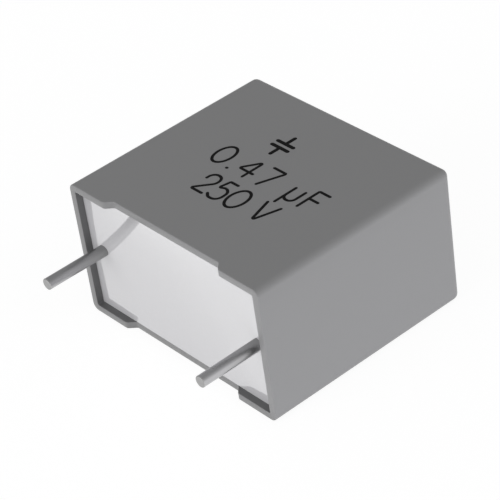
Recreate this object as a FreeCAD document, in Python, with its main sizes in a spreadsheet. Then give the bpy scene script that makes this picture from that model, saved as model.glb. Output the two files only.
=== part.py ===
import FreeCAD, Part
import os
import Sketcher

# A radial box film capacitor, in millimetres, lying on one broad side.
# X runs along the lead pitch, Y from the leads to the closed end, Z through the thickness.
# The origin is the middle of the broad side that the case lies on.
# The seating plane, which meets the board, is the rim of the case at the lowest Y.

SIZES = {
    # the moulded case
    "lead_pitch": 15.0,
    "case_beyond_lead": 1.5,
    "case_height": 16.0,
    "case_thickness": 10.0,
    "outer_radius": 0.5,
    "side_wall": 0.5,
    "end_wall": 0.52,
    "closed_wall": 0.8,
    "core_radius": 0.1,
    "core_draft": 0.5,
    # the shallow notch in both long rims, which leaves a foot at each corner
    "foot_length": 3.5,
    "notch_depth": 0.5,
    "notch_ramp": 0.5,
    # the potting
    "dish_depth": 0.6,
    "resin_over_roll": 1.8,
    "resin_behind_roll": 0.5,
    "resin_beside_roll": 0.5,
    # the roll of metallised film and the sprayed metal on its ends
    "slit_gap": 0.15,
    "spray_thickness": 0.4,
    "spray_edge": 0.12,
    # the tinned wires, round outside and rolled flat where they are welded on
    "wire_diameter": 0.8,
    "lead_length": 4.0,
    "round_below_resin": 0.19,
    "flattening_run": 0.8,
    "flat_thickness": 0.5,
    "flat_length": 9.0,
}

doc = FreeCAD.newDocument("box_film_capacitor")
sheet = doc.addObject("Spreadsheet::Sheet", "sizes")
for row, (name, number) in enumerate(SIZES.items(), start=1):
    sheet.set(f"A{row}", name)
    sheet.set(f"B{row}", str(number))
    sheet.setAlias(f"B{row}", name)
doc.recompute()

# Places and sizes that follow from the sheet.
case_length = "(sizes.lead_pitch + 2 * sizes.case_beyond_lead)"
middle = "(sizes.case_thickness / 2)"
seat = "(sizes.case_height / 2)"
core_length = f"({case_length} - 2 * sizes.end_wall)"
core_thickness = "(sizes.case_thickness - 2 * sizes.side_wall)"
core_depth = "(sizes.case_height - sizes.closed_wall)"
roll_height = (
    f"({core_depth} - sizes.notch_depth - sizes.resin_over_roll - sizes.resin_behind_roll)"
)
roll_thickness = f"({core_thickness} - 2 * sizes.resin_beside_roll)"
roll_centre = f"({seat} - sizes.closed_wall - sizes.resin_behind_roll - {roll_height} / 2)"
spray_face = "(sizes.lead_pitch / 2 - sizes.flat_thickness / 2)"
roll_end = f"({spray_face} - sizes.spray_thickness)"
round_end = "(sizes.notch_depth + sizes.round_below_resin)"
# Rolling flat keeps the wire's area: a slot of the flat's thickness, this wide.
flat_width = (
    "(pi / 4 * (sizes.wire_diameter ^ 2 - sizes.flat_thickness ^ 2) / sizes.flat_thickness"
    " + sizes.flat_thickness)"
)


def value(rule):
    """The number that a rule, written in the sheet's names, comes to."""
    return float(sheet.evalExpression(rule))


def sketch_on(body, role, name, **offset):
    """A sketch on one of the body's own origin planes, shifted in the plane's x, y and z."""
    plane = next(item for item in body.Origin.OriginFeatures if item.Role == role)
    sketch = body.newObject("Sketcher::SketchObject", name)
    sketch.AttachmentSupport = (plane, [""])
    sketch.MapMode = "FlatFace"
    for axis, rule in offset.items():
        sketch.setExpression(f"AttachmentOffset.Base.{axis}", rule)
    return sketch


def hold(sketch, kind, rule, *place):
    """A constraint whose number follows a rule."""
    number = sketch.addConstraint(Sketcher.Constraint(kind, *place, value(rule)))
    sketch.setExpression(f"Constraints[{number}]", rule)


def polygon(sketch, corners):
    """A closed outline of straight lines, each corner held by its two coordinates."""
    points = [FreeCAD.Vector(value(across), value(up), 0) for across, up in corners]
    ends = points[1:] + points[:1]
    sketch.addGeometry([Part.LineSegment(a, b) for a, b in zip(points, ends)], False)
    for number, (across, up) in enumerate(corners):
        following = (number + 1) % len(corners)
        sketch.addConstraint(Sketcher.Constraint("Coincident", number, 2, following, 1))
        hold(sketch, "DistanceX", across, number, 1)
        hold(sketch, "DistanceY", up, number, 1)


def rectangle(sketch, width, height):
    """A rectangle centred on the sketch's origin."""
    polygon(
        sketch,
        [
            (f"-{width} / 2", f"-{height} / 2"),
            (f"{width} / 2", f"-{height} / 2"),
            (f"{width} / 2", f"{height} / 2"),
            (f"-{width} / 2", f"{height} / 2"),
        ],
    )


def circle(sketch, diameter):
    """A circle centred on the sketch's origin."""
    flat = FreeCAD.Vector(0, 0, 1)
    sketch.addGeometry(Part.Circle(FreeCAD.Vector(), flat, value(diameter) / 2), False)
    sketch.addConstraint(Sketcher.Constraint("Coincident", 0, 3, -1, 1))
    hold(sketch, "Diameter", diameter, 0)


def slot(sketch, length, width, upright=False):
    """Two half circles joined by straight lines, centred, its length along x or upright."""
    spread, radius = (value(length) - value(width)) / 2, value(width) / 2
    along = FreeCAD.Vector(0, 1, 0) if upright else FreeCAD.Vector(1, 0, 0)
    aside = FreeCAD.Vector(-1, 0, 0) if upright else FreeCAD.Vector(0, 1, 0)
    ends = []
    for side in (1, -1):
        centre = along * spread * side
        first = centre - aside * radius * side
        tip = centre + along * radius * side
        last = centre + aside * radius * side
        ends.append((first, last))
        sketch.addGeometry(Part.Arc(first, tip, last), False)
    sketch.addGeometry(Part.LineSegment(ends[0][1], ends[1][0]), False)
    sketch.addGeometry(Part.LineSegment(ends[1][1], ends[0][0]), False)
    for arc, line, other in ((0, 2, 3), (1, 3, 2)):
        sketch.addConstraint(Sketcher.Constraint("Coincident", arc, 2, line, 1))
        sketch.addConstraint(Sketcher.Constraint("Coincident", arc, 1, other, 2))
    square = "Horizontal" if upright else "Vertical"
    axis = -2 if upright else -1
    for arc, sign in ((0, ""), (1, "-")):
        sketch.addConstraint(Sketcher.Constraint("PointOnObject", arc, 3, axis))
        sketch.addConstraint(Sketcher.Constraint(square, arc, 1, arc, 3))
        sketch.addConstraint(Sketcher.Constraint(square, arc, 2, arc, 3))
        hold(sketch, "Radius", f"{width} / 2", arc)
        reach = f"{sign}({length} - {width}) / 2"
        hold(sketch, "DistanceY" if upright else "DistanceX", reach, arc, 3)


def pad(body, name, sketch, length, reverse=False, taper=None):
    """A pad of a sketch by a length that follows a rule."""
    feature = body.newObject("PartDesign::Pad", name)
    feature.Profile = sketch
    feature.Reversed = reverse
    feature.setExpression("Length", length)
    if taper:
        feature.setExpression("TaperAngle", taper)
    doc.recompute()
    return feature


def rounded(body, name, base, radius, wanted):
    """A fillet on the edges of the base that the test picks."""
    fillet = body.newObject("PartDesign::Fillet", name)
    edges = enumerate(base.Shape.Edges, start=1)
    fillet.Base = (base, [f"Edge{number}" for number, edge in edges if wanted(edge)])
    fillet.setExpression("Radius", radius)
    doc.recompute()
    return fillet


def off_the_seat(edge):
    """True for an edge that doesn't lie in the seating plane."""
    level = -value(seat)
    return max(abs(vertex.Y - level) for vertex in edge.Vertexes) > 1e-6


def cut(name, base, tool):
    """One solid less another, as a part of its own."""
    result = doc.addObject("Part::Cut", name)
    result.Base = base
    result.Tool = tool
    doc.recompute()
    return result


def mould_block():
    """The case before it is hollow, with rounded outer edges and a notch across both long rims."""
    body = doc.addObject("PartDesign::Body", "block")
    outline = sketch_on(body, "XZ_Plane", "block_outline", y=middle, z=seat)
    rectangle(outline, case_length, "sizes.case_thickness")
    block = pad(body, "block_pad", outline, "sizes.case_height", reverse=True)
    rounded(body, "outer_rounding", block, "sizes.outer_radius", off_the_seat)
    profile = sketch_on(body, "XY_Plane", "notch_profile")
    rim_reach = f"({case_length} / 2 - sizes.foot_length)"
    floor_reach = f"({rim_reach} - sizes.notch_ramp)"
    polygon(
        profile,
        [
            (f"-{rim_reach}", f"-{seat}"),
            (rim_reach, f"-{seat}"),
            (floor_reach, f"sizes.notch_depth - {seat}"),
            (f"-{floor_reach}", f"sizes.notch_depth - {seat}"),
        ],
    )
    notch = body.newObject("PartDesign::Pocket", "notch")
    notch.Profile = profile
    notch.Type = "ThroughAll"
    notch.Reversed = True
    doc.recompute()
    return body


def mould_core():
    """The drafted core that hollows the case, and whose lower part the resin fills."""
    body = doc.addObject("PartDesign::Body", "core")
    mouth = sketch_on(body, "XZ_Plane", "core_mouth", y=middle, z=seat)
    rectangle(mouth, core_length, core_thickness)
    core = pad(body, "core_pad", mouth, core_depth, reverse=True, taper="-sizes.core_draft")
    rounded(body, "core_rounding", core, "sizes.core_radius", off_the_seat)
    return body


def head_space():
    """The space over the resin: a quadratic patch, level at the walls and sunk in the middle.

    The dish is depth * (1 - X^2) * (1 - Z^2), with X and Z going from -1 to 1 between walls.
    A Bezier patch of degree two by two is exactly that, here carried a little past the walls.
    """
    half_length, half_thickness = value(core_length) / 2, value(core_thickness) / 2
    level = value(f"sizes.notch_depth - {seat}")
    margin = value("sizes.side_wall")
    reach_x = 1 + margin / half_length
    reach_z = 1 + margin / half_thickness
    lift_x = (1 - reach_x**2, 1 + reach_x**2, 1 - reach_x**2)
    lift_z = (1 - reach_z**2, 1 + reach_z**2, 1 - reach_z**2)
    patch = Part.BezierSurface()
    patch.increase(2, 2)
    for i, across in enumerate((-1, 0, 1)):
        for j, up in enumerate((-1, 0, 1)):
            pole = FreeCAD.Vector(
                across * reach_x * half_length,
                level + value("sizes.dish_depth") * lift_x[i] * lift_z[j],
                value(middle) + up * reach_z * half_thickness,
            )
            patch.setPole(i + 1, j + 1, pole)
    space = doc.addObject("Part::Feature", "head_space")
    height = value("sizes.notch_depth") + 2 * margin
    space.Shape = patch.toShape().extrude(FreeCAD.Vector(0, -height, 0))
    return space


def roll_body():
    """The film roll's outside: wound round, then pressed flat, so its section is a slot."""
    body = doc.addObject("PartDesign::Body", "roll")
    section = sketch_on(body, "YZ_Plane", "roll_section", x=roll_centre, y=middle, z=f"-{roll_end}")
    slot(section, roll_height, roll_thickness)
    pad(body, "roll_pad", section, f"2 * {roll_end}")
    return body


def roll_slit():
    """The closed-up hole that the winding arbor left along the roll's flat middle."""
    body = doc.addObject("PartDesign::Body", "slit")
    section = sketch_on(body, "YZ_Plane", "slit_section", x=roll_centre, y=middle, z=f"-{roll_end}")
    slot(section, f"({roll_height} - {roll_thickness} + sizes.slit_gap)", "sizes.slit_gap")
    pad(body, "slit_pad", section, f"2 * {roll_end}")
    return body


def end_spray(name, side):
    """Metal sprayed on one end of the roll, thinner along its outer edge."""
    body = doc.addObject("PartDesign::Body", name)
    sign = "" if side > 0 else "-"
    section = sketch_on(
        body, "YZ_Plane", f"{name}_section", x=roll_centre, y=middle, z=f"{sign}{roll_end}"
    )
    slot(section, roll_height, roll_thickness)
    layer = pad(body, f"{name}_pad", section, "sizes.spray_thickness", reverse=side < 0)
    face = side * value(spray_face)
    edges = enumerate(layer.Shape.Edges, start=1)
    outer = [
        f"Edge{number}"
        for number, edge in edges
        if all(abs(vertex.X - face) < 1e-6 for vertex in edge.Vertexes)
    ]
    thinning = body.newObject("PartDesign::Chamfer", f"{name}_edge")
    thinning.Base = (layer, outer)
    thinning.setExpression("Size", "sizes.spray_edge")
    doc.recompute()
    return body


def lead(name, side):
    """One wire: round from its tip to just under the resin, then rolled flat for its weld."""
    body = doc.addObject("PartDesign::Body", name)
    across = f"{side} * sizes.lead_pitch / 2"
    wire = sketch_on(
        body, "XZ_Plane", f"{name}_round", x=across, y=middle, z=f"{seat} - {round_end}"
    )
    circle(wire, "sizes.wire_diameter")
    pad(body, f"{name}_shank", wire, f"sizes.lead_length + {round_end}")
    flat = sketch_on(
        body,
        "XZ_Plane",
        f"{name}_flat",
        x=across,
        y=middle,
        z=f"{seat} - {round_end} - sizes.flattening_run",
    )
    slot(flat, flat_width, "sizes.flat_thickness", upright=True)
    doc.recompute()
    loft = body.newObject("PartDesign::AdditiveLoft", f"{name}_flattening")
    loft.Profile = wire
    loft.Sections = [flat]
    doc.recompute()
    pad(body, f"{name}_weld_flat", flat, "sizes.flat_length", reverse=True)
    return body


core = mould_core()
case = cut("case", mould_block(), core)
roll = roll_body()
winding = cut("winding", roll, roll_slit())
sprays = [end_spray("end_spray_left", -1), end_spray("end_spray_right", 1)]
leads = [lead("lead_left", -1), lead("lead_right", 1)]
potted = doc.addObject("Part::MultiFuse", "potted")
potted.Shapes = [head_space(), roll, *sprays, *leads]
doc.recompute()
resin_fill = cut("resin_fill", core, potted)

pieces = [case, resin_fill, winding, *sprays, *leads]
failed = [item.Label for item in doc.Objects if {"Invalid", "Error"} & set(item.State)]
if failed:
    raise RuntimeError(f"these features failed: {failed}")
for piece in pieces:
    piece.Label = piece.Name
    shape = piece.Shape
    if shape.isNull() or not shape.isValid() or len(shape.Solids) != 1:
        raise RuntimeError(f"{piece.Label} isn't one valid solid")

os.makedirs("parts", exist_ok=True)
for piece in pieces:
    piece.Shape.exportStep(f"parts/{piece.Label}.step")
    print(f"{piece.Label}: {piece.Shape.Volume:.3f} mm3")
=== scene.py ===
import bmesh
import bpy
import numpy as np
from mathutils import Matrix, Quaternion, Vector


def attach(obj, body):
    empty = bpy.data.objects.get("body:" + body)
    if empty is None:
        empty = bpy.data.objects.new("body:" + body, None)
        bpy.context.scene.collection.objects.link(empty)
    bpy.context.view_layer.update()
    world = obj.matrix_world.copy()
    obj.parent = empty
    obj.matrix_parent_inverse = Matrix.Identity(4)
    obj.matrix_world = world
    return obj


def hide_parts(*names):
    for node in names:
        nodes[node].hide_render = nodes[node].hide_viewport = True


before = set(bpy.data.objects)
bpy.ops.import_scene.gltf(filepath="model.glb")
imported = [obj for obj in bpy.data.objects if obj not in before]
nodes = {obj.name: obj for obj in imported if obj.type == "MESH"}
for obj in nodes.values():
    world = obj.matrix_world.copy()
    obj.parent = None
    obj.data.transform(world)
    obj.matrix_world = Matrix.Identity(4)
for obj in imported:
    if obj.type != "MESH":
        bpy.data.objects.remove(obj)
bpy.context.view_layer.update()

# The sizes are in millimetres, in the part's own frame. X runs along the lead pitch, Y from the
# leads to the closed end, and Z up through the thickness from the side that the part lies on.


# The film roll: metallised polyester film, wound round, pressed flat and taped with clear film.
# It is sealed in resin, so it keeps the solid's own mesh and only gets its finish here: silvery,
# with the faint lines that the film's turns leave along the roll.
MM = 0.001


def new_material(name, **sockets):
    """A material with one Principled shader; a keyword names a socket, with _ for a blank."""
    material = bpy.data.materials.new(name)
    material.use_nodes = True
    shader = material.node_tree.nodes["Principled BSDF"]
    for socket, number in sockets.items():
        shader.inputs[socket.replace("_", " ")].default_value = number
    return material, shader


def add(owner, kind, inputs=None, **settings):
    """One node, its settings made and its inputs filled with numbers or with other sockets."""
    tree = owner.node_tree
    node = tree.nodes.new(kind)
    for setting, choice in settings.items():
        setattr(node, setting, choice)
    for socket, given in (inputs or {}).items():
        if isinstance(given, bpy.types.NodeSocket):
            tree.links.new(given, node.inputs[socket])
        else:
            node.inputs[socket].default_value = given
    return node


def place(material, stretch=(1.0, 1.0, 1.0)):
    """Object coordinates in metres, each axis multiplied by its stretch."""
    source = add(material, "ShaderNodeTexCoord").outputs["Object"]
    mapping = add(material, "ShaderNodeMapping", {"Vector": source, "Scale": stretch})
    return mapping.outputs["Vector"]


def grain(material, where, per_metre, detail=3.0, roughness=0.5):
    """Smooth noise with about this many features in a metre, from 0 to 1."""
    inputs = {"Vector": where, "Scale": per_metre, "Detail": detail, "Roughness": roughness}
    return add(material, "ShaderNodeTexNoise", inputs).outputs["Fac"]


def spread(owner, source, low, high, start=0.3, end=0.7):
    """The source carried from start..end to low..high, and held at the ends."""
    inputs = {"Value": source, "From Min": start, "From Max": end, "To Min": low, "To Max": high}
    return add(owner, "ShaderNodeMapRange", inputs).outputs["Result"]


def mixed(material, amount, first, second):
    """The first colour where the amount is 0, the second where it is 1, and between them a mix."""
    first, second = (
        (*colour, 1.0) if isinstance(colour, tuple) else colour for colour in (first, second)
    )
    inputs = {0: amount, 6: first, 7: second}
    return add(material, "ShaderNodeMix", inputs, data_type="RGBA").outputs[2]


def relief(material, height, depth_mm, strength=1.0, under=None):
    """A bump whose full height is this many millimetres, over another bump if one is given."""
    inputs = {"Height": height, "Distance": depth_mm * MM, "Strength": strength}
    if under:
        inputs["Normal"] = under
    return add(material, "ShaderNodeBump", inputs).outputs["Normal"]


def join(material, shader, **sockets):
    """The shader's sockets linked to these outputs."""
    for socket, output in sockets.items():
        material.node_tree.links.new(output, shader.inputs[socket.replace("_", " ")])


def dress(node, material):
    """A node's own mesh, with this as its one material."""
    node.data.materials.clear()
    node.data.materials.append(material)


film, shader = new_material("film_roll", Metallic=0.6, Coat_Weight=0.4)
turns = grain(film, place(film, (1.0, 60.0, 60.0)), 120.0)
join(
    film,
    shader,
    Base_Color=mixed(film, spread(film, turns, 0, 1), (0.55, 0.55, 0.57), (0.63, 0.63, 0.65)),
    Roughness=spread(film, turns, 0.22, 0.34),
    Normal=relief(film, turns, 0.01),
)
dress(nodes["winding"], film)


# The sprayed metal on both ends of the roll: zinc, shot on molten, that joins the film's layers.
# It is rough and dull, and each wire is welded to its outer face. It is sealed in the resin too.
spray, shader = new_material("sprayed_zinc", Metallic=1.0)
droplets = grain(spray, place(spray), 6000.0, 4.0, 0.65)
join(
    spray,
    shader,
    Base_Color=mixed(spray, droplets, (0.36, 0.36, 0.37), (0.56, 0.56, 0.56)),
    Roughness=spread(spray, droplets, 0.5, 0.75),
    Normal=relief(spray, droplets, 0.05),
)
dress(nodes["end_spray_left"], spray)
dress(nodes["end_spray_right"], spray)


# The wires: tinned copper, drawn round, rolled flat where they are welded on, and cut off square.
# Each is one skin of rings along the wire, from the middle of the cut tip to the end of the flat.
LEAD_PITCH = 15.0
CASE_THICKNESS = 10.0
WIRE_RADIUS = 0.4
TIP = -12.0
BURR_RADIUS = 0.045
ROUND_TO = -7.31
FLAT_FROM = -6.51
FLAT_TO = 2.49
FLAT_HALF_THICKNESS = 0.25
FLAT_HALF_WIDTH = 0.5563
ROOT_SHADE_FROM = -10.4
ROOT_SHADE_TO = -7.4
LEFT_WIRE_SHADE = 0.12


def maths(owner, operation, first, second):
    """Two numbers or sockets put together by one operation, such as ADD."""
    return add(owner, "ShaderNodeMath", {0: first, 1: second}, operation=operation).outputs[0]


def skin(rings, looped=False):
    """Points and quads through an array of rings that all have as many points.

    Point p of ring r is number r * points + p. Its quad joins it to the next point of its ring
    and to the same two of the next ring. A looped skin's last ring is joined to its first.
    """
    count, points = rings.shape[:2]
    joined = count if looped else count - 1
    ring, point = np.meshgrid(np.arange(joined), np.arange(points), indexing="ij")
    here, onward = ring * points, (ring + 1) % count * points
    beside = (point + 1) % points
    quads = np.stack([onward + point, onward + beside, here + beside, here + point], -1)
    return rings.reshape(-1, 3), quads.reshape(-1, 4)


def piece(name, shape, material, slot, replaced=None, **attributes):
    """A smooth mesh of points and quads that rides on the part, with its doubles merged.

    A ring whose points all lie in one place is a pole: merged, it closes the end of a skin.
    """
    points, quads = shape
    mesh = bpy.data.meshes.new(name)
    mesh.from_pydata((points * MM).tolist(), [], quads.tolist())
    for attribute, numbers in attributes.items():
        mesh.attributes.new(attribute, "FLOAT", "POINT").data.foreach_set("value", numbers)
    shell = bmesh.new()
    shell.from_mesh(mesh)
    bmesh.ops.remove_doubles(shell, verts=shell.verts, dist=1e-8)
    shell.to_mesh(mesh)
    shell.free()
    mesh.shade_smooth()
    mesh.materials.append(material)
    made = bpy.data.objects.new(name, mesh)
    bpy.context.scene.collection.objects.link(made)
    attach(made, "root")
    if replaced:
        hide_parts(replaced)


def wire_section(angle, flatness):
    """A ring of the wire, between a circle, at flatness 0, and an upright slot, at 1.

    The circle is radius * (cos, sin) of the angle. The slot is a smaller circle, its upper and
    lower halves moved apart.
    """
    across, up = np.cos(angle), np.sin(angle)
    apart = (FLAT_HALF_WIDTH - FLAT_HALF_THICKNESS) * np.sign(up)
    x = (1 - flatness) * WIRE_RADIUS * across + flatness * FLAT_HALF_THICKNESS * across
    z = (1 - flatness) * WIRE_RADIUS * up + flatness * (FLAT_HALF_THICKNESS * up + apart)
    return x, z


# Every ring has its place along the wire, and the share of the full section that it has there.
cut_edge = np.linspace(np.pi / 2, 0, 5)
shank = [TIP + 0.12, -11.0, -10.0, -9.0, -8.2, -7.7, *np.linspace(ROUND_TO, FLAT_FROM, 9)]
y = [TIP, TIP, *(TIP + BURR_RADIUS * (1 - np.sin(cut_edge))), *shank, -3.5, 0.0, FLAT_TO, FLAT_TO]
rounding = 1 - BURR_RADIUS / WIRE_RADIUS * (1 - np.cos(cut_edge))
share = [0.0, 0.5, *rounding, *np.ones(len(shank) + 3), 0.0]
y, share = np.array(y)[:, None], np.array(share)[:, None]
flattened = np.clip((y - ROUND_TO) / (FLAT_FROM - ROUND_TO), 0, 1)
angle = (np.arange(64) + 0.5) * 2 * np.pi / 64
x, z = wire_section(angle, flattened**2 * (3 - 2 * flattened))

tin, shader = new_material("tinned_wire", Metallic=1.0)
drawn = grain(tin, place(tin, (1.0, 0.02, 1.0)), 14000.0, 2.0)
clouds = grain(tin, place(tin), 900.0)
sheared = grain(tin, place(tin, (1.0, 1.0, 0.08)), 9000.0, 2.0)
where = add(tin, "ShaderNodeSeparateXYZ", {"Vector": place(tin)}).outputs
along = where["Y"]
at_tip = spread(tin, along, 1.0, 0.0, (TIP + 0.02) * MM, (TIP + 0.05) * MM)
at_burr = spread(tin, along, 1.0, 0.0, (TIP + BURR_RADIUS) * MM, (TIP + 2.5 * BURR_RADIUS) * MM)
bright = mixed(tin, clouds, (0.475, 0.475, 0.485), (0.525, 0.525, 0.535))
# Painted highlight: the burr round the cut edge is lighter.
bright = mixed(tin, at_burr, bright, (0.6, 0.6, 0.6))
# Painted shade: the wires are darker for about 3 mm next to the resin, where they go into it, and a
# little rougher there.
root_shade = spread(tin, along, 0.0, 1.0, ROOT_SHADE_FROM * MM, ROOT_SHADE_TO * MM)
bright = mixed(tin, root_shade, bright, (0.37, 0.37, 0.37))
# Painted shade: the left wire is painted a little darker than the right one, as it catches less
# light.
left = spread(tin, where["X"], LEFT_WIRE_SHADE, 0.0, -1.0 * MM, 1.0 * MM)
bright = mixed(tin, left, bright, (0.0, 0.0, 0.0))
cut_face = mixed(tin, sheared, (0.38, 0.38, 0.38), (0.485, 0.485, 0.485))
rougher_at_burr = spread(tin, at_burr, 0.0, 0.28, 0.0, 1.0)
rougher_near_root = spread(tin, root_shade, 0.0, 0.12, 0.0, 1.0)
rougher = maths(tin, "ADD", rougher_at_burr, rougher_near_root)
join(
    tin,
    shader,
    Base_Color=mixed(tin, at_tip, bright, cut_face),
    Roughness=maths(tin, "ADD", spread(tin, clouds, 0.26, 0.32), rougher),
    Normal=relief(tin, drawn, 0.001, 0.5, relief(tin, clouds, 0.006, 0.5)),
)
for side, centre in (("left", -LEAD_PITCH / 2), ("right", LEAD_PITCH / 2)):
    rings = np.broadcast_arrays(centre + share * x, y, CASE_THICKNESS / 2 + share * z)
    piece(f"wire_{side}", skin(np.stack(rings, -1)), tin, "tinned_wire", f"lead_{side}")


# The case: a box of grey glass-filled polyester, injection moulded around a polished, drafted core.
# Its outside has a fine spark-eroded grain, and both long rims have a shallow notch between feet.
# It is one skin of rounded rectangles, from the closed end's middle, over the rim and inside.
HALF_LENGTH = 9.0
HALF_THICKNESS = CASE_THICKNESS / 2
SEAT = -8.0
CLOSED_END = 8.0
OUTER_RADIUS = 0.5
CORE_HALF_LENGTH = 8.48
CORE_HALF_THICKNESS = 4.5
CORE_RADIUS = 0.1
CORE_FLOOR = 7.2
DRAFT = np.tan(np.radians(0.5))
NOTCH_REACH = 5.5
NOTCH_DEPTH = 0.5
NOTCH_SOFTNESS = 0.1
OUTER_LIP = 0.06
INNER_LIP = 0.03
# How the points on the long sides lie about a corner of the notch, and how far out their knee
# is: so far, or on a short ring this share of its side.
BESIDE_CORNER = np.array([-0.25, -0.13, -0.06, 0.0, 0.06, 0.13, 0.25])
KNEE = 6.0
KNEE_SHARE = 0.735
# The gate mark is a round dimple, a little deeper along its edge, where the sprue broke off.
GATE_REACH = np.array([0.0, 0.35, 0.62, 0.74, 0.8, 1.0])
GATE_DEPTH = np.array([0.05, 0.05, 0.07, 0.01, 0.0, 0.0])
# Beside a rounded edge the flat starts with a narrow step, which keeps it flat to the light.
STEP = 0.04


def softened(distance):
    """The positive part of a distance, averaged over the notch's softness on both sides."""
    ahead = np.maximum(distance + NOTCH_SOFTNESS, 0) ** 2
    behind = np.maximum(distance - NOTCH_SOFTNESS, 0) ** 2
    return (ahead - behind) / (4 * NOTCH_SOFTNESS)


def notch(x):
    """How far the rim stands back at x: a slope of 45 degrees, then level, with soft corners."""
    inward = NOTCH_REACH - np.abs(x)
    return softened(inward) - softened(inward - NOTCH_DEPTH)


def box_rings(half_length, half_thickness, radius):
    """Rounded rectangles, one for each row: x and z of a ring of points around each.

    A corner is radius * (cos, sin) of a quarter turn, about its own centre. The points on the
    long sides are close at the notch's two corners. Up to the knee they keep their places on
    every ring that is long enough, and beyond it they share out the rest of the side.
    """
    close = np.unique([NOTCH_REACH - NOTCH_DEPTH + BESIDE_CORNER, NOTCH_REACH + BESIDE_CORNER])
    spots = np.array([0, 1.3, 2.6, 3.8, 4.5, *close, KNEE, 6.8, 7.6, 8.4])
    straight, upright = half_length - radius, half_thickness - radius
    knee = np.minimum(KNEE, KNEE_SHARE * straight)
    beyond = np.maximum(spots - KNEE, 0) / (HALF_LENGTH - OUTER_RADIUS - KNEE)
    spots = np.minimum(spots, KNEE) / KNEE * knee + beyond * (straight - knee)
    long_side = np.concatenate([-spots[:, :0:-1], spots], 1)
    short_side = np.linspace(-1, 1, 9)[1:-1] * upright
    arc = np.linspace(0, np.pi / 2, 9)
    first, second, third, fourth = (
        (
            across * straight + radius * np.cos(arc + turns * np.pi / 2),
            up * upright + radius * np.sin(arc + turns * np.pi / 2),
        )
        for turns, (across, up) in enumerate(((1, 1), (-1, 1), (-1, -1), (1, -1)))
    )
    top = half_thickness + 0 * long_side
    right = half_length + 0 * short_side
    x = [first[0], long_side[:, ::-1], second[0], -right, third[0], long_side, fourth[0], right]
    z = [first[1], top, second[1], short_side[:, ::-1], third[1], -top, fourth[1], short_side]
    return np.concatenate(x, 1), np.concatenate(z, 1)


def stations(half_length, half_thickness, radius, level, notched=0.0, polish=0.0, inside=0.0):
    """A run of the case's profile, one row a ring: its box, its level, and what marks it.

    The last three are the share of the notch that the ring follows, how far its edge is worn
    smooth, and whether it lies inside. A single number holds for the whole run.
    """
    row = (half_length, half_thickness, radius, level, notched, polish, inside)
    return np.stack(np.broadcast_arrays(*np.atleast_1d(*row)), -1)


# On a rounded edge, a ring stands in by radius * (1 - cos) of its turn, and back from the face
# by radius * (1 - sin) of it.
quarter = np.linspace(0, np.pi / 2, 9)
shoulder, above = OUTER_RADIUS * (1 - np.cos(quarter)), OUTER_RADIUS * (1 - np.sin(quarter))
lip_turn = np.linspace(0, np.pi / 2, 5)
lip = OUTER_LIP * (1 - np.cos(lip_turn))
core_turn = np.linspace(np.pi / 2, 0, 4)
core_lip = INNER_LIP * (1 - np.cos(core_turn))
deep = np.array([-7.3, -6.0, 0.0, 6.8])
drawn_in = (deep - SEAT) * DRAFT
floor_in = (CORE_FLOOR - SEAT) * DRAFT + CORE_RADIUS * (1 - np.cos(lip_turn))
floor_step = floor_in[-1] + STEP
profile = np.concatenate(
    [
        # The gate mark, and the flat of the closed end out to its rounded edge.
        stations(GATE_REACH, GATE_REACH, GATE_REACH, CLOSED_END - GATE_DEPTH),
        stations(np.array([6.5, 8.0]), np.array([2.5, 4.0]), 1.0, CLOSED_END),
        stations(
            HALF_LENGTH - OUTER_RADIUS - STEP,
            HALF_THICKNESS - OUTER_RADIUS - STEP,
            STEP / 2,
            CLOSED_END,
        ),
        # The rounded edge, and the outside as far as the rim.
        stations(
            HALF_LENGTH - shoulder,
            HALF_THICKNESS - shoulder,
            OUTER_RADIUS - shoulder,
            CLOSED_END - above,
        )[::-1],
        stations(
            HALF_LENGTH,
            HALF_THICKNESS,
            OUTER_RADIUS,
            np.array([CLOSED_END - OUTER_RADIUS - 1.5 * STEP, 4.0, 0.0, -4.0, -6.5]),
        ),
        stations(HALF_LENGTH, HALF_THICKNESS, OUTER_RADIUS, SEAT + 1.5 * OUTER_LIP, 1.0),
        # The rim, with a softened edge outside and a sharper one inside.
        stations(
            HALF_LENGTH - lip,
            HALF_THICKNESS - lip,
            OUTER_RADIUS - lip,
            SEAT + OUTER_LIP * (1 - np.sin(lip_turn)),
            1.0,
            polish=(lip_turn > 0).astype(float),
        ),
        stations(
            CORE_HALF_LENGTH + core_lip,
            CORE_HALF_THICKNESS + core_lip,
            CORE_RADIUS + core_lip,
            SEAT + INNER_LIP * (1 - np.sin(core_turn)),
            1.0,
            (core_turn > 0).astype(float),
            (core_turn == 0).astype(float),
        ),
        # The walls inside, which draw in with the core's draft, and the floor to its middle.
        stations(
            CORE_HALF_LENGTH,
            CORE_HALF_THICKNESS,
            CORE_RADIUS,
            SEAT + 1.5 * INNER_LIP,
            1.0,
            inside=1.0,
        ),
        stations(
            CORE_HALF_LENGTH - drawn_in,
            CORE_HALF_THICKNESS - drawn_in,
            CORE_RADIUS,
            deep,
            inside=1.0,
        ),
        stations(
            CORE_HALF_LENGTH - floor_in,
            CORE_HALF_THICKNESS - floor_in,
            CORE_RADIUS * np.cos(lip_turn),
            CORE_FLOOR - CORE_RADIUS * (1 - np.sin(lip_turn)),
            inside=1.0,
        ),
        stations(
            CORE_HALF_LENGTH - floor_step,
            CORE_HALF_THICKNESS - floor_step,
            STEP / 2,
            CORE_FLOOR,
            inside=1.0,
        ),
        stations(4.0, 0.5, 0.4, CORE_FLOOR, inside=1.0),
        stations(0.0, 0.0, 0.0, CORE_FLOOR, inside=1.0),
    ]
)
# The rings are joined from the core's floor to the closed end, so that the faces look outwards.
half_length, half_thickness, radius, level, notched, polish, inside = profile[::-1].T[..., None]
x, z = box_rings(half_length, half_thickness, radius)
rings = np.stack([x, level + notched * notch(x), z + HALF_THICKNESS], -1)
polish, inside = ((mark + 0 * x).astype(np.float32).reshape(-1) for mark in (polish, inside))

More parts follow.
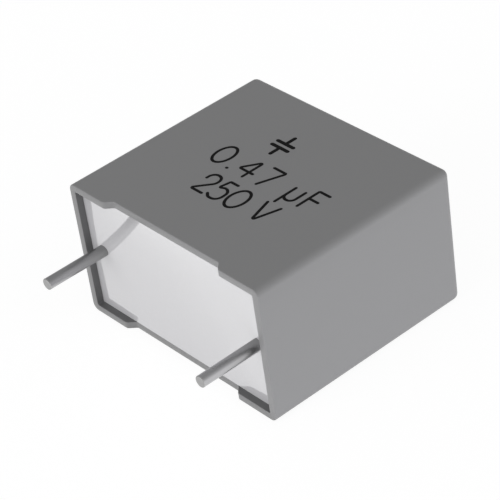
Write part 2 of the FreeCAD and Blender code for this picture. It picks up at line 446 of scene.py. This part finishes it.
plastic, shader = new_material("case_plastic", IOR=1.5, Specular_IOR_Level=0.45)
spark = grain(plastic, place(plastic), 11000.0, 3.0, 0.6)
flow = grain(plastic, place(plastic, (1.0, 0.35, 1.0)), 260.0, 4.0, 0.55)
worn = add(plastic, "ShaderNodeAttribute", attribute_name="polish").outputs["Fac"]
# Painted shade: where a ring lies inside, the case takes a darker colour, standing in for the shade
# in the recess.
recess_shade = add(plastic, "ShaderNodeAttribute", attribute_name="inside").outputs["Fac"]
grey = mixed(plastic, flow, (0.307, 0.307, 0.309), (0.331, 0.331, 0.335))
speckle = mixed(plastic, spark, (0.294, 0.294, 0.296), (0.346, 0.346, 0.348))
outside = mixed(plastic, 0.35, grey, speckle)
# The rim is worn more even and smooth than the faces, and the moulded inside is painted darker:
# painted shade in the recess.
outside = mixed(plastic, spread(plastic, worn, 0.0, 0.6, 0.0, 1.0), outside, (0.312, 0.312, 0.315))
smoother = spread(plastic, worn, 0.0, -0.1, 0.0, 1.0)
join(
    plastic,
    shader,
    Base_Color=mixed(plastic, recess_shade, outside, (0.165, 0.165, 0.167)),
    Roughness=maths(plastic, "ADD", spread(plastic, flow, 0.42, 0.5), smoother),
    Normal=relief(plastic, spark, 0.006, 0.5, relief(plastic, flow, 0.03, 0.4)),
)
piece("moulded_case", skin(rings), plastic, "case_plastic", "case", polish=polish, inside=inside)


# The potting: pale epoxy, poured into the open end up to the notches, and cured there.
# It shrank as it cured, so its glossy face is dished between the walls.
# The face is a grid over the core's section, and its edge is carried down to the case's floor.
POUR_LEVEL = -7.49
DISH_DEPTH = 0.6
POTTING_FLOOR = 7.19
# The outermost row of the face is this narrow, which keeps the light on the edge even.
EDGE_ROW = 0.02


def core_section(s, t, level):
    """The drafted core's section at a level, with s and t from -1 to 1 between its walls.

    A row of constant t keeps its height, and is as long as the rounded rectangle is there.
    """
    drawn_in = (level - SEAT) * DRAFT
    half_length = CORE_HALF_LENGTH - drawn_in
    half_thickness = CORE_HALF_THICKNESS - drawn_in
    z = t * half_thickness
    into_corner = np.maximum(np.abs(z) - (half_thickness - CORE_RADIUS), 0)
    row = half_length - CORE_RADIUS + np.sqrt(np.maximum(CORE_RADIUS**2 - into_corner**2, 0))
    return s * row, z + HALF_THICKNESS


def together(*shapes):
    """Several shapes' points and quads as one shape's."""
    starts = np.cumsum([0] + [len(points) for points, _ in shapes[:-1]])
    points = np.concatenate([points for points, _ in shapes])
    return points, np.concatenate([quads + start for start, (_, quads) in zip(starts, shapes)])


# The grid's rows are close in the core's rounded corners, and even between them.
edge_s, edge_t = 1 - EDGE_ROW / CORE_HALF_LENGTH, 1 - EDGE_ROW / CORE_HALF_THICKNESS
s = np.array([-1.0, *np.linspace(-edge_s, edge_s, 86), 1.0])
corner_t = 1 - CORE_RADIUS / CORE_HALF_THICKNESS * (1 - np.sin(np.linspace(0, np.pi / 2, 7)))
corner_t = np.sort([*corner_t, edge_t])
t = np.concatenate([-corner_t[:0:-1], np.linspace(-corner_t[0], corner_t[0], 45), corner_t[1:]])
s, t = np.meshgrid(s, t, indexing="ij")
x, z = core_section(s, t, POUR_LEVEL)
# The dish is its full depth in the middle, and falls off with the square of the way outwards.
across, up = x / CORE_HALF_LENGTH, (z - HALF_THICKNESS) / CORE_HALF_THICKNESS
y = POUR_LEVEL + DISH_DEPTH * (1 - across**2) * (1 - up**2)
number = np.arange(s.size).reshape(s.shape)
quads = np.stack([number[:-1, :-1], number[1:, :-1], number[1:, 1:], number[:-1, 1:]], -1)
face = np.stack([x, y, z], -1).reshape(-1, 3), quads.reshape(-1, 4)

around = np.concatenate([number[:-1, 0], number[-1, :-1], number[:0:-1, -1], number[0, :0:-1]])
down = np.array([POUR_LEVEL + 0.05, -6.0, 0.0, POTTING_FLOOR, POTTING_FLOOR])[:, None]
x, z = core_section(s.reshape(-1)[around], t.reshape(-1)[around], down)
# The last ring is a pole, which closes the floor in its middle.
x[-1], z[-1] = 0.0, HALF_THICKNESS
flanks = np.stack([x, down + 0 * x, z], -1)
flanks = skin(np.concatenate([face[0][around][None], flanks]))

resin, shader = new_material(
    "potting_resin",
    IOR=1.6,
    Specular_IOR_Level=0.8,
    Coat_Weight=1.0,
    Coat_Roughness=0.02,
    Coat_IOR=1.7,
)
haze = grain(resin, place(resin), 180.0, 3.0)
filler = grain(resin, place(resin), 7000.0, 3.0, 0.6)
ripple = grain(resin, place(resin), 330.0, 2.0)
pits = add(resin, "ShaderNodeTexVoronoi", {"Vector": place(resin), "Scale": 900.0})
pit = spread(resin, pits.outputs["Distance"], 0.0, 1.0, 0.04, 0.1)
pale = mixed(resin, haze, (0.765, 0.76, 0.785), (0.8, 0.795, 0.815))
waves = relief(resin, ripple, 0.012, 0.5)
join(
    resin,
    shader,
    Base_Color=mixed(resin, spread(resin, filler, 0.0, 0.12), pale, (0.64, 0.64, 0.63)),
    Roughness=spread(resin, haze, 0.05, 0.10),
    Normal=relief(resin, pit, 0.004, 0.5, waves),
    Coat_Normal=waves,
)
piece("potting", together(face, flanks), resin, "potting_resin", "resin_fill")


# The marks: black ink, printed on the broad side as single pen strokes.
# They are a plain rating, 0.47 microfarad and 250 volts, under the usual sign for a capacitor.
# Each stroke is a low ridge carried along its line, with round ends.
STROKE_HALF_WIDTH = 0.105
PLATE_HALF_WIDTH = 0.14
FILM_HEIGHT = 0.012
THICKER_AT_END = 0.2
BEDDED = 0.03
# From side to side of a stroke: the share of its half width, of its height, and of its bedding.
ACROSS = np.array([-1.0, -1.0, -0.7, 0.7, 1.0, 1.0])
RISE = np.array([0.0, 0.4, 1.0, 1.0, 0.4, 0.0])
SUNK = np.array([1.0, 0.0, 0.0, 0.0, 0.0, 1.0])
# The radius of a sign's tight corners, in shares of the capitals' height.
TIGHT = 0.045


def stroke(corners, radii=()):
    """Straight runs through the corners, each inner corner replaced by an arc of its radius.

    An arc leaves the runs at radius / tan(half the angle between them), and its middle lies on
    their bisector, at radius / sin(that half) from the corner.
    """
    corners, radii = np.array(corners, float), np.array(radii, float)
    here, before, after = corners[1:-1], corners[:-2], corners[2:]
    back = (before - here) / np.linalg.norm(before - here, axis=1, keepdims=True)
    ahead = (after - here) / np.linalg.norm(after - here, axis=1, keepdims=True)
    half = np.arccos(np.clip((back * ahead).sum(1), -1, 1)) / 2
    bisector = (back + ahead) / np.linalg.norm(back + ahead, axis=1, keepdims=True)
    centre = here + bisector * (radii / np.sin(half))[:, None]
    start = here + back * (radii / np.tan(half))[:, None] - centre
    sense = np.sign(back[:, 1] * ahead[:, 0] - back[:, 0] * ahead[:, 1])
    swing = np.linspace(0, 1, 13) * ((np.pi - 2 * half) * sense)[:, None]
    turned_x = start[:, :1] * np.cos(swing) - start[:, 1:] * np.sin(swing)
    turned_y = start[:, :1] * np.sin(swing) + start[:, 1:] * np.cos(swing)
    arcs = np.stack([turned_x, turned_y], -1) + centre[:, None, :]
    return np.concatenate([corners[:1], arcs.reshape(-1, 2), corners[-1:]])


def oval(width, height):
    """A closed oval that stands on the baseline: its last point is its first.

    With a turn's cos and sin, its points are width * (1 + cos) / 2 and height * (1 + sin) / 2.
    """
    swing = np.linspace(0, 2 * np.pi, 49)
    return np.stack([width * (1 + np.cos(swing)), height * (1 + np.sin(swing))], -1) / 2


def ridge(line, half_width):
    """A low ridge carried along a line; its ends narrow as half circles, unless it is closed.

    A point of the ridge lies aside of the line, square to the heading there, by its share of the
    half width. At an end the width shrinks as the sine of a quarter turn, while the line runs on
    by half_width times its cosine.
    """
    closed = np.allclose(line[0], line[-1])
    step = np.diff(line, axis=0)
    step /= np.linalg.norm(step, axis=1, keepdims=True)
    if closed:
        line, heading = line[:-1], step + np.roll(step, 1, axis=0)
    else:
        heading = np.concatenate([step[:1], step[:-1] + step[1:], step[-1:]])
    heading /= np.linalg.norm(heading, axis=1, keepdims=True)
    width = np.full(len(line), half_width)
    if not closed:
        swing = np.linspace(0, np.pi / 2, 7)[:-1, None]
        beyond, narrow = half_width * np.cos(swing), half_width * np.sin(swing[:, 0])
        ends = line[0] - heading[0] * beyond, line[-1] + heading[-1] * beyond[::-1]
        line = np.concatenate([ends[0], line, ends[1]])
        width = np.concatenate([narrow, width, narrow[::-1]])
        heading = heading[np.clip(np.arange(len(line)) - len(swing), 0, len(heading) - 1)]
    aside = np.stack([-heading[:, 1], heading[:, 0]], -1)[:, None, :]
    plan = line[:, None, :] + aside * (ACROSS * width[:, None])[..., None]
    # The ink is a little thicker towards a stroke's end, where the pen lifts.
    thickness = FILM_HEIGHT * (1 + THICKER_AT_END * np.linspace(0, 1, len(line)))[:, None]
    height = CASE_THICKNESS + RISE * thickness - SUNK * BEDDED
    return skin(np.concatenate([plan, height[..., None]], -1), closed)


# Every sign is its width and its strokes, in shares of the capitals' height.
SIGNS = {
    "0": (0.66, [oval(0.66, 1.0)]),
    ".": (0.02, [stroke([(0, 0.02), (0.02, 0.02)])]),
    "4": (0.66, [stroke([(0.48, 0), (0.48, 1), (0, 0.3), (0.66, 0.3)], [TIGHT, TIGHT])]),
    "7": (0.58, [stroke([(0, 1), (0.58, 1), (0.2, 0)], [TIGHT])]),
    "micro": (
        0.46,
        [
            stroke([(0, 0.66), (0, -0.28)]),
            stroke([(0, 0.32), (0, 0), (0.46, 0), (0.46, 0.66)], [0.22, 0.22]),
        ],
    ),
    "F": (
        0.48,
        [stroke([(0, 0), (0, 1), (0.48, 1)], [TIGHT]), stroke([(0, 0.52), (0.42, 0.52)])],
    ),
    "2": (
        0.54,
        [
            stroke(
                [(0.02, 0.68), (0.02, 1), (0.52, 1), (0.52, 0.62), (0, 0), (0.54, 0)],
                [0.245, 0.245, 0.27, TIGHT],
            )
        ],
    ),
    "5": (
        0.54,
        [
            stroke(
                [
                    (0.49, 1),
                    (0.14, 1),
                    (0.05, 0.56),
                    (0.26, 0.65),
                    (0.54, 0.65),
                    (0.54, 0),
                    (0.14, 0),
                    (0, 0.12),
                ],
                [TIGHT, TIGHT, 0.18, 0.26, 0.26, 0.18],
            )
        ],
    ),
    "V": (0.62, [stroke([(0, 1), (0.31, 0), (0.62, 1)], [TIGHT])]),
    "blank": (0.22, []),
}
marks = []
for signs, left, baseline, capital, gap in (
    (("0", ".", "4", "7", "blank", "micro", "F"), -4.05, -0.6, 1.9, 0.31),
    (("2", "5", "0", "blank", "V"), -2.4, -3.4, 1.95, 0.16),
):
    for sign in signs:
        width, lines = SIGNS[sign]
        marks += [ridge(line * capital + (left, baseline), STROKE_HALF_WIDTH) for line in lines]
        left += (width + gap) * capital
# The capacitor's sign: two plates, each with its wire.
for line in (
    [(-1.18, 2.25), (-1.18, 3.05)],
    [(-1.9, 3.05), (-0.46, 3.05)],
    [(-1.9, 3.55), (-0.46, 3.55)],
    [(-1.18, 3.55), (-1.18, 4.35)],
):
    marks.append(ridge(stroke(line), PLATE_HALF_WIDTH))

ink, shader = new_material("marking_ink", IOR=1.45, Specular_IOR_Level=0.08)
coverage = grain(ink, place(ink), 9000.0, 3.0, 0.6)
join(
    ink,
    shader,
    Base_Color=mixed(ink, coverage, (0.006, 0.006, 0.006), (0.014, 0.014, 0.014)),
    Roughness=spread(ink, coverage, 0.45, 0.65),
    Normal=relief(ink, coverage, 0.003, 0.5),
)
piece("printed_marks", together(*marks), ink, "marking_ink")


# The studio: a white table in a pale room that is brightest low on the right, so that the wires
# have a bright and a dark side. A soft lamp stands before the open end, and a light panel lies
# on the table before the right-hand end and lights it from below.
LAMP_PLACE = (-60.0, -500.0, 110.0)
LAMP_SIDE = 300.0
LAMP_WATTS = 0.755
PANEL_SIDE = 150.0
PANEL_PLACE = (HALF_LENGTH + 0.1 + PANEL_SIDE / 2, 5.0, 0.1)
PANEL_WATTS = 0.0492


def lamp(name, place_mm, aim_mm, side_mm, watts):
    """A soft square lamp that shines from its place towards its aim."""
    data = bpy.data.lights.new(name, "AREA")
    data.shape = "SQUARE"
    data.size = side_mm * MM
    data.energy = watts
    made = bpy.data.objects.new(name, data)
    bpy.context.scene.collection.objects.link(made)
    made.location = Vector(place_mm) * MM
    made.rotation_mode = "QUATERNION"
    made.rotation_quaternion = (Vector(place_mm) - Vector(aim_mm)).to_track_quat("Z", "Y")
    return made


lamp("front_lamp", LAMP_PLACE, (0.0, 0.0, HALF_THICKNESS), LAMP_SIDE, LAMP_WATTS)
# The panel faces straight up. It is kept out of the picture and of reflections, so that only
# its light shows.
panel = lamp("end_panel", PANEL_PLACE, (*PANEL_PLACE[:2], 1.0), PANEL_SIDE, PANEL_WATTS)
panel.visible_camera = panel.visible_glossy = False
panel.data.color = (0.95, 0.95, 1.0)

# The room's light from a direction (x, y, z) rises from its plain strength to that of the low
# right, by (1 - z) to a power, times the share of the way that x has gone from left to right.
ROOM_STRENGTH = 0.387
LOW_RIGHT_STRENGTH = 1.05
FADE_UPWARD = 1.6
FADE_ACROSS = 0.667
room = bpy.data.worlds.new("studio")
bpy.context.scene.world = room
room.use_nodes = True
ray = add(room, "ShaderNodeTexCoord").outputs["Generated"]
ray = add(room, "ShaderNodeSeparateXYZ", {"Vector": ray}).outputs
low = maths(room, "POWER", spread(room, ray["Z"], 1.0, 0.0, 0.0, 1.0), FADE_UPWARD)
right = spread(room, ray["X"], 0.0, 1.0, -FADE_ACROSS, FADE_ACROSS)
low_right = maths(room, "MULTIPLY", low, right)
strength = spread(room, low_right, ROOM_STRENGTH, LOW_RIGHT_STRENGTH, 0.0, 1.0)
background = room.node_tree.nodes["Background"].inputs
room.node_tree.links.new(strength, background["Strength"])
background["Color"].default_value = (0.995, 0.995, 1.0, 1.0)

# The table shows as plain white, in the camera and in reflections, and keeps a faint shadow.
TABLE_REACH = 1500.0
ends = np.array([(-1, -1, 0), (1, -1, 0), (1, 1, 0), (-1, 1, 0)]) * TABLE_REACH * MM
table = bpy.data.meshes.new("table")
table.from_pydata(ends.tolist(), [], [(0, 1, 2, 3)])
floor = bpy.data.objects.new("table", table)
bpy.context.scene.collection.objects.link(floor)
white = bpy.data.materials.new("white_table")
white.use_nodes = True
white.node_tree.nodes.clear()
seen = add(white, "ShaderNodeLightPath").outputs
direct = maths(white, "MAXIMUM", seen["Is Camera Ray"], seen["Is Glossy Ray"])
direct = maths(white, "MAXIMUM", direct, seen["Is Transmission Ray"])
glow = add(white, "ShaderNodeEmission", {"Color": (0.91, 0.91, 0.91, 1.0)}).outputs[0]
faint = add(white, "ShaderNodeBsdfDiffuse", {"Color": (0.17, 0.17, 0.17, 1.0)}).outputs[0]
shown = add(white, "ShaderNodeAddShader", {0: glow, 1: faint}).outputs[0]
paper = add(white, "ShaderNodeBsdfDiffuse", {"Color": (0.8, 0.8, 0.8, 1.0)}).outputs[0]
surface = add(white, "ShaderNodeMixShader", {0: direct, 1: paper, 2: shown}).outputs[0]
add(white, "ShaderNodeOutputMaterial", {"Surface": surface})
table.materials.append(white)

# The camera stands before the right-hand end, looks down at the open end, and is tilted a
# little about its line of sight.
CAMERA_PLACE = Vector((93.366, -70.425, 88.108))
CAMERA_AIM = Vector((-0.0558, -1.3183, 5.0))
CAMERA_TILT = np.radians(-8.7085)
view = bpy.data.cameras.new("view")
view.lens = 162.601
view.sensor_width = 36.0
view.clip_start = 0.01
camera = bpy.data.objects.new("view", view)
bpy.context.scene.collection.objects.link(camera)
level_sight = (CAMERA_PLACE - CAMERA_AIM).to_track_quat("Z", "Y")
camera.location = CAMERA_PLACE * MM
camera.rotation_mode = "QUATERNION"
camera.rotation_quaternion = level_sight @ Quaternion((0.0, 0.0, 1.0), CAMERA_TILT)
bpy.context.scene.camera = camera
bpy.context.scene.view_settings.view_transform = "Standard"

bpy.context.view_layer.update()
